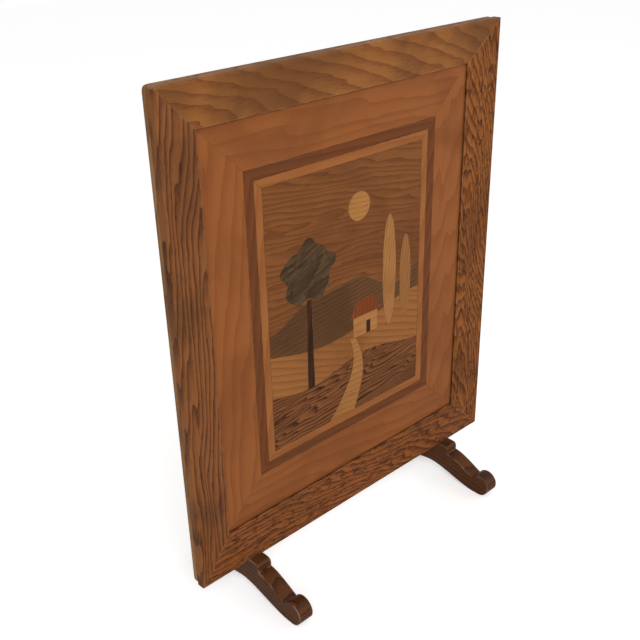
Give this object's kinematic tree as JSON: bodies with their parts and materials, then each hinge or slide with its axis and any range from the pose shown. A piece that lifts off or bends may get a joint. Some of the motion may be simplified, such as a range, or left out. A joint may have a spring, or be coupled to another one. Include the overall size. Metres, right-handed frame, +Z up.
{
  "type": "fire screen",
  "caption": "Free-standing oak-framed fire screen with a mitred veneer border, an inlaid marquetry landscape and two low scroll-ended sledge feet.",
  "frame": {"origin": "on the floor, under the middle of the screen", "axes": "+Z up, X across the screen, -Y the picture side"},
  "size_m": [0.6, 0.241, 0.746],
  "materials": {
    "border_veneer": "satin varnish",
    "dark_veneer": "satin varnish",
    "light_veneer": "satin varnish",
    "oak": "satin varnish",
    "picture_cottage_door": "satin varnish",
    "picture_cottage_roof": "satin varnish",
    "picture_cottage_wall": "satin varnish",
    "picture_dark_ground": "satin varnish",
    "picture_far_hill": "satin varnish",
    "picture_garden_path": "satin varnish",
    "picture_near_hill": "satin varnish",
    "picture_poplar_short": "satin varnish",
    "picture_poplar_tall": "satin varnish",
    "picture_sky": "satin varnish",
    "picture_sun_disc": "satin varnish",
    "picture_tree_crown": "satin varnish",
    "picture_tree_trunk": "satin varnish",
    "plywood": "satin varnish",
    "stained_oak": "satin varnish",
    "steel": "aged steel"
  },
  "bodies": {
    "root": {"backing_board": "plywood", "bottom_border_veneer": "border_veneer", "bottom_dark_band": "dark_veneer", "bottom_light_band": "light_veneer", "bottom_moulding": "oak", "bottom_rail_screw_1": "steel", "bottom_rail_screw_2": "steel", "cottage_door": "picture_cottage_door", "cottage_roof": "picture_cottage_roof", "cottage_wall": "picture_cottage_wall", "dark_ground_1": "picture_dark_ground", "dark_ground_2": "picture_dark_ground", "far_hill_1": "picture_far_hill", "far_hill_2": "picture_far_hill", "far_hill_3": "picture_far_hill", "far_hill_4": "picture_far_hill", "garden_path": "picture_garden_path", "left_border_veneer": "border_veneer", "left_dark_band": "dark_veneer", "left_foot": "stained_oak", "left_foot_screw": "steel", "left_light_band": "light_veneer", "left_moulding": "oak", "left_rail_screw_1": "steel", "left_rail_screw_2": "steel", "near_hill_1": "picture_near_hill", "near_hill_2": "picture_near_hill", "near_hill_3": "picture_near_hill", "poplar_short": "picture_poplar_short", "poplar_tall": "picture_poplar_tall", "right_border_veneer": "border_veneer", "right_dark_band": "dark_veneer", "right_foot": "stained_oak", "right_foot_screw": "steel", "right_light_band": "light_veneer", "right_moulding": "oak", "right_rail_screw_1": "steel", "right_rail_screw_2": "steel", "sky": "picture_sky", "sun_disc": "picture_sun_disc", "top_border_veneer": "border_veneer", "top_dark_band": "dark_veneer", "top_light_band": "light_veneer", "top_moulding": "oak", "top_rail_screw_1": "steel", "top_rail_screw_2": "steel", "tree_crown": "picture_tree_crown", "tree_trunk": "picture_tree_trunk"}
  },
  "joints": []
}
